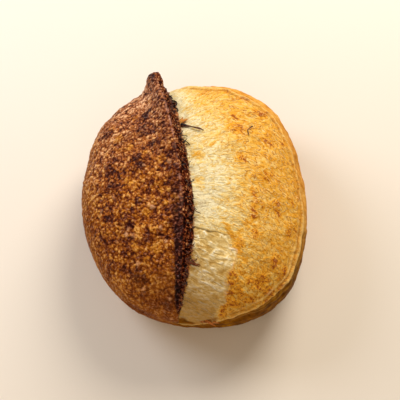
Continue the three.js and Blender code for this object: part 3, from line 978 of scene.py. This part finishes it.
    # The near end's crinkled crumb, painted darker and greyer towards the end as shade
    crinkle = addNode(tree, "TexNoise", {"Vector": flat, "Scale": 0.9, "Detail": 5, "Roughness": 0.7,
                      "Distortion": 0.6}, noise_type="RIDGED_MULTIFRACTAL", normalize=True)
    webTone = sums(-0.50, (trait["webLine"], 0.6), (crinkle, 1.4), (drift, 0.9), (pores, 0.5))
    webColour = addNode(tree, "ValToRGB", {"Fac": webTone}, stops=spread(look["web"], 0.05, 0.9))
    webShade = addNode(tree, "MapRange", {0: trait["fromNear"], 1: 0.16, 2: 0.36, 3: 0.8, 4: 0.0},
                       clamp=True)
    webColour = layered("RGBA", webColour, (webShade, 1.0, linear(look["webShadeColour"])))
    webMask = sums(-0.55, (trait["web"], 1.0), (drift, 0.6), (streak, 0.5))
    webMask = addNode(tree, "MapRange", {0: webMask, 1: 0.3, 2: 0.7, 3: 0.0, 4: 1.0}, clamp=True)

    # Old skin, the base and the torn face
    skinTone = sums(-0.55, (medium, 0.9), (drift, 0.9), (trait["pleat"], 0.12))
    skinColour = addNode(tree, "ValToRGB", {"Fac": skinTone}, stops=spread(look["skin"], 0.1, 0.9))
    goldTone = sums(-0.75, (drift, 0.9), (pores, 0.5), (medium, 0.8))
    goldColour = addNode(tree, "ValToRGB", {"Fac": goldTone}, stops=spread(look["skinGolden"], 0.1, 0.7))
    # Golden towards the far end, over the brown that is painted shade at the near end
    skinColour = layered("RGBA", skinColour, (trait["skinLitShare"], 0.9, goldColour))
    baseTone = sums(-0.1, (drift, 0.7), (fine, 0.5))
    baseColour = addNode(tree, "ValToRGB", {"Fac": baseTone}, stops=spread(look["base"], 0.3, 0.75))
    onBase = addNode(tree, "MapRange", {0: trait["depth"], 1: 0.93, 2: 0.999, 3: 0.0, 4: 1.0}, clamp=True)
    tornTone = sums(-1.49, (fine, 2.4), (drift, 1.3), (trait["fromNear"], 0.04))
    tornColour = addNode(tree, "ValToRGB", {"Fac": tornTone}, stops=spread(look["torn"], 0.15, 0.8))

    colour = layered(
        "RGBA", bloomColour,
        (flakeHighlight, 1.0, linear(look["flakeHighlight"])),
        (line, 1.0, linear(look["brownLine"])),
        (webMask, 1.0, webColour),
        # painted shadow along the ledge
        (trait["ledgeShadow"], 0.7, linear(look["ledgeShadow"])),
        (trait["skin"], 1.0, skinColour),
        (trait["lipGroove"], 0.6, linear(look["groove"])),
        (trait["lipRidge"], 0.75, linear(look["lip"])),
        (trait["fringe"], 0.75, linear(look["fringe"])),
        (trait["flap"], 1.0, flapColour),
        (trait["torn"], 1.0, tornColour),
        (trait["crestLine"], 0.8, linear(look["crest"])),
        (onBase, 1.0, baseColour),
    )
    tree.links.new(colour, shader.inputs["Base Color"])

    # Only the tops of the flap's grain have a shine, and the torn face and old skin none
    dark = addNode(tree, "Math", {0: trait["flap"], 1: trait["torn"]}, operation="MAXIMUM")
    dull = addNode(tree, "Math", {0: trait["torn"], 1: trait["skin"]}, operation="MAXIMUM")
    glint = addNode(tree, "MapRange", {0: fine, 1: 0.5, 2: 0.66, 3: 0.0, 4: 1.0}, clamp=True)
    rough = layered("FLOAT", look["flapRoughness"], (glint, 1.0, look["glintRoughness"]))
    rough = layered("FLOAT", look["bloomRoughness"], (dark, 1.0, rough))
    tree.links.new(rough, shader.inputs["Roughness"])
    shine = layered("FLOAT", look["flapShine"], (glint, 1.0, look["glintShine"]))
    shine = layered("FLOAT", look["bloomShine"], (dark, 1.0, shine), (dull, 1.0, look["tornShine"]))
    tree.links.new(shine, shader.inputs["Specular IOR Level"])

    flapGrain = sums(0, (cell, 0.35), (gap, -1.1), (fine, 1.0))
    bloomGrain = sums(0, (pulled, 0.28), (loose, 0.22), (streak, 0.9), (pores, 0.9))
    webGrain = sums(0, (crinkle, 2.2), (pores, 0.9))
    skinGrain = sums(0, (drift, 1.0), (pores, 0.8))
    grain = layered("FLOAT", bloomGrain, (webMask, 1.0, webGrain), (trait["skin"], 1.0, skinGrain),
                    (dark, 1.0, flapGrain))
    bump = addNode(tree, "Bump", {"Strength": 0.9, "Distance": look["bumpHeight"] * millimetre,
                   "Height": grain})
    tree.links.new(bump, shader.inputs["Normal"])
    return material


def makeLoaf():
    piece = makePiece("sourdoughLoaf", surface, faces.tolist())
    addTraits(piece.data, traits)
    layout = piece.data.uv_layers.new(name="OFBake")
    layout.data.foreach_set("uv", bakeLayout().astype(np.float32).ravel())
    piece.data.materials.append(makeCrust())
    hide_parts("loaf")


makeLoaf()
print("loaf made")

# Shreds: stiff scraps of crust standing along the tear and lying on the bloom. Thin dough
# toasts first, so the eye sees nearly black barbs and a few straw-coloured curls.
shredLook = dict(
    thickness=0.35, shredSteps=8, twigSteps=12, twigSides=7,
    tearShreds=300, tearReach=(0.12, 0.9), tearSpread=(0.4, 1.15),   # scattered along the tear
    lengths=(1.4, 4.2), widths=(0.7, 1.7), turn=75, lifts=(0.4, 1.8), browning=(0.5, 0.95),
    roughness=0.55, ior=1.45, grain=1.8, bumpHeight=0.5,
    colours=["#f4dca0", "#e2a03c", "#bc6c14", "#6e3008", "#2a1208", "#140a08"],
)
# Share of the score, distance past the crest, length, width, turn from straight across in
# degrees, lift of the tip, browning from 0 to 1
seenShreds = [
    (0.665, 11.5, 12, 9, -35, 2.8, 0.3), (0.29, 7.5, 9, 4.5, 10, 2, 0.65),
    (0.3, 5.5, 6, 3.5, 70, 1.6, 0.7), (0.095, 33, 14, 5, 15, 2.4, 0.45),
    (0.11, 39, 8, 4, -15, 1.6, 0.4), (0.08, 27, 9, 4, 50, 2, 0.5),
    (0.8, 6, 8, 6, 35, 2.5, 0.6), (0.77, 9, 7, 5, 60, 2, 0.7),
    (0.725, 9.5, 6, 4.5, 20, 1.2, 0.45), (0.7, 9.5, 6, 5, 50, 1.2, 0.45),
    (0.67, 10.5, 9, 5, 20, 1.5, 0.4), (0.655, 10.5, 7, 3, -10, 1.5, 0.6),
    (0.6, 9, 6, 2, 30, 2, 0.85), (0.59, 9, 8, 1.5, -20, 1.6, 0.75),
    (0.43, 9.5, 6, 1.5, -20, 1.6, 0.8), (0.29, 12, 9, 2, 10, 1.2, 0.6),
    (0.34, 13.5, 7, 1.5, 20, 0.8, 0.05), (0.585, 66, 7, 3, -10, 0.6, 0.3),
]
# Twigs: share and distance of both ends, radius, bend to the side, lift of the end, browning
seenTwigs = [
    (0.65, 10, 0.605, 26.5, 1, 1.2, 1.6, 0.7), (0.655, 9, 0.64, 13.5, 1.1, 0.5, 0.6, 0.95),
    (0.59, 71, 0.57, 65, 0.55, -2.6, 0.6, 0.75), (0.605, 6, 0.585, 12, 0.5, 0.6, 0.8, 0.8),
    (0.615, 6, 0.61, 12, 0.45, 0.5, 0.6, 0.8), (0.43, 8, 0.42, 14.5, 0.45, -0.8, 0.8, 0.7),
    (0.3, 8, 0.295, 16, 0.75, -0.6, 0.8, 0.6), (0.3, 9, 0.31, 13, 0.55, -0.6, 0.6, 0.65),
    (0.77, 9, 0.73, 9.5, 0.8, 4.2, 1.5, 0.9), (0.73, 9, 0.705, 9.5, 0.7, 2.6, 1, 0.95),
    (0.805, 8, 0.775, 9, 0.7, 2.6, 1, 0.95),
]


def ringEdges(start, around):
    return [(start + i, start + (i + 1) % around) for i in range(around)]


class Shreds:
    def __init__(self):
        self.points, self.faces, self.brown = [], [], []

    # Adds rings of points as a closed body; both ends are closed by a fan
    def addBody(self, rings, brown):
        start, around = len(self.points), len(rings[0])
        last = start + (len(rings) - 1) * around
        for ring in rings:
            self.points.extend(ring)
        for level in range(start, last, around):
            for a, b in ringEdges(level, around):
                self.faces.append((a, b, b + around, a + around))
        for level, ring, turn in ((start, rings[0], -1), (last, rings[-1], 1)):
            self.points.append(np.mean(ring, axis=0))
            middle = len(self.points) - 1
            self.faces.extend((middle, a, b)[::turn] for a, b in ringEdges(level, around))
        self.brown.extend([brown] * (len(rings) * around + 2))


# Where a shred starts and the way it runs: its foot, its heading, its left, and out
def footing(share, distance, turn):
    shares = [share, share, min(share + 0.004, 0.999)]
    here, further, later = placesOnLoaf(shares, [distance, distance + 1, distance], 1)
    acrossWay = (further - here) / np.linalg.norm(further - here)
    out = np.cross(acrossWay, later - here)
    out /= np.linalg.norm(out)
    alongWay = np.cross(out, acrossWay)
    angle = math.radians(turn)
    heading = acrossWay * math.cos(angle) + alongWay * math.sin(angle)
    _, nearest, _ = shakenTree.find(here)
    return here + out * relief[nearest], heading, np.cross(out, heading), out


def addShred(shreds, random, share, distance, length, width, turn, lift, brown):
    start, heading, left, out = footing(share, distance, turn)
    start = start - heading * length / 2
    steps = shredLook["shredSteps"]
    ragged = random.uniform(-0.18, 0.18, (steps + 1, 2))
    waviness = random.uniform(-0.25, 0.25, steps + 1)
    rings = []
    for i in range(steps + 1):
        way = i / steps
        half = width / 2 * (1.04 - way) ** 0.7
        rise = mixed(-0.3, lift, way ** 1.5) + waviness[i]
        middle = start + heading * length * way + out * rise
        ring = []
        for across, above in ((-1, 0), (-0.5, 1), (0.5, 1), (1, 0), (0.5, -1), (-0.5, -1)):
            edge = across * half * (1 + ragged[i, int(across > 0)])
            crown = 0.18 * half * (1 - across * across)
            level = above * shredLook["thickness"] / 2 + crown
            ring.append(middle + left * edge + out * level)
        rings.append(ring)
    shreds.addBody(rings, brown)


def addTwig(shreds, random, share, distance, endShare, endDistance, radius, bend, lift, brown):
    start, _, _, out = footing(share, distance, 0)
    end = footing(endShare, endDistance, 0)[0] + out * lift
    left = np.cross(out, end - start)
    left /= np.linalg.norm(left)
    steps, sides = shredLook["twigSteps"], shredLook["twigSides"]
    turns = [2 * math.pi * k / sides for k in range(sides)]
    rings = []
    for i in range(steps + 1):
        way = i / steps
        knot = 1 + 0.3 * math.sin(9 * way + 1) + random.uniform(-0.12, 0.12)
        around = radius * knot * (1 - 0.35 * way) * (1 if way < 0.9 else 0.75)
        sway = bend * math.sin(math.pi * way) + 0.4 * radius * math.sin(9 * way)
        middle = mixed(start, end, way) + left * sway + out * radius * (0.5 + math.sin(math.pi * way))
        rings.append([middle + (left * math.cos(t) + out * math.sin(t)) * around for t in turns])
    shreds.addBody(rings, brown)


def fillShreds():
    shreds = Shreds()
    random = np.random.default_rng(5)
    for values in seenShreds:
        addShred(shreds, random, *values)
    for values in seenTwigs:
        addTwig(shreds, random, *values)
    look = shredLook
    for _ in range(look["tearShreds"]):
        share = random.uniform(*look["tearReach"])
        edge = 1.7 + tear["width"] * float(smooth(0.05, tear["opensBy"], share))
        distance = edge * random.uniform(*look["tearSpread"])
        length, width = random.uniform(*look["lengths"]), random.uniform(*look["widths"])
        turn = random.uniform(-look["turn"], look["turn"])
        lift, brown = random.uniform(*look["lifts"]), random.uniform(*look["browning"])
        addShred(shreds, random, share, distance, length, width, turn, lift, brown)
    return shreds


def makeShredCrust():
    material = bpy.data.materials.new("toastedShreds")
    material.use_nodes = True
    tree = material.node_tree
    shader = tree.nodes["Principled BSDF"]
    place = addNode(tree, "TexCoord", out="Object")
    brown = addNode(tree, "Attribute", out="Fac", attribute_name="brown")
    grain = addNode(tree, "TexNoise", {"Vector": place, "Scale": scaleFor(shredLook["grain"]), "Detail": 3})
    amount = addNode(tree, "Math", {0: grain, 1: 0.5, 2: -0.25}, operation="MULTIPLY_ADD")
    amount = addNode(tree, "Math", {0: amount, 1: brown}, operation="ADD")
    colour = addNode(tree, "ValToRGB", {"Fac": amount}, stops=spread(shredLook["colours"], 0.0, 1.0))
    tree.links.new(colour, shader.inputs["Base Color"])
    shader.inputs["Roughness"].default_value = shredLook["roughness"]
    shader.inputs["IOR"].default_value = shredLook["ior"]
    bumpHeight = shredLook["bumpHeight"] * millimetre
    bump = addNode(tree, "Bump", {"Strength": 0.6, "Distance": bumpHeight, "Height": grain})
    tree.links.new(bump, shader.inputs["Normal"])
    return material


shreds = fillShreds()
shredPiece = makePiece("tornShreds", np.array(shreds.points), shreds.faces)
addTraits(shredPiece.data, dict(brown=np.array(shreds.brown)))
shredPiece.data.materials.append(makeShredCrust())
print("shreds made:", len(shreds.faces), "faces")

# Stage: floor, lights, camera
stage = dict(
    floorColour="#e6ddcf", floorRadius=3.0, floorSides=96,
    world="#e8e4de", worldStrength=0.22,
    lights=dict(   # place, size, power, colour
        window=((0.50, 1.00, 0.95), 0.9, 21.5, "#fff6ea"),
        leftWindow=((-0.95, 0.55, 0.75), 0.8, 11, "#eef3ff"),
        fill=((-0.2, -0.9, 0.9), 1.4, 6, "#ffdfb6"),
    ),
)

eye = dict(elevation=64, distance=0.9, lens=85.3, aim=(0.0057, -0.0004, 0.05))


def makeFloor():
    radius, sides = stage["floorRadius"], stage["floorSides"]
    turns = [2 * math.pi * i / sides for i in range(sides)]
    corners = [(radius * math.cos(t), radius * math.sin(t), 0) for t in turns]
    data = bpy.data.meshes.new("floor")
    data.from_pydata(corners, [], [list(range(sides))])
    floor = bpy.data.objects.new("floor", data)
    bpy.context.scene.collection.objects.link(floor)
    material = bpy.data.materials.new("paintedPlaster")
    material.use_nodes = True
    shader = material.node_tree.nodes["Principled BSDF"]
    shader.inputs["Base Color"].default_value = linear(stage["floorColour"])
    shader.inputs["Roughness"].default_value = 0.8
    data.materials.append(material)


def makeLight(name, at, size, power, colour):
    data = bpy.data.lights.new(name, "AREA")
    data.shape = "DISK"
    data.size = size
    data.energy = power
    data.color = linear(colour)[:3]
    light = bpy.data.objects.new(name, data)
    light.location = at
    towards = Vector((0, 0, 0.05)) - Vector(at)
    light.rotation_euler = towards.to_track_quat("-Z", "Y").to_euler()
    light.visible_camera = False
    bpy.context.scene.collection.objects.link(light)


def makeWorld():
    world = bpy.data.worlds.new("studio")
    world.use_nodes = True
    background = world.node_tree.nodes["Background"]
    background.inputs["Color"].default_value = linear(stage["world"])
    background.inputs["Strength"].default_value = stage["worldStrength"]
    bpy.context.scene.world = world
    bpy.context.scene.view_settings.view_transform = "Standard"


def makeCamera():
    data = bpy.data.cameras.new("camera")
    data.lens = eye["lens"]
    data.sensor_width = 36
    camera = bpy.data.objects.new("camera", data)
    turn = math.radians(eye["elevation"])
    toLoaf = Vector((0, math.cos(turn), -math.sin(turn)))
    camera.location = Vector(eye["aim"]) - toLoaf * eye["distance"]
    camera.rotation_euler = toLoaf.to_track_quat("-Z", "Y").to_euler()
    bpy.context.scene.collection.objects.link(camera)
    bpy.context.scene.camera = camera


makeFloor()
for name, values in stage["lights"].items():
    makeLight(name, *values)
makeWorld()
makeCamera()
print("stage set")

bpy.context.view_layer.update()
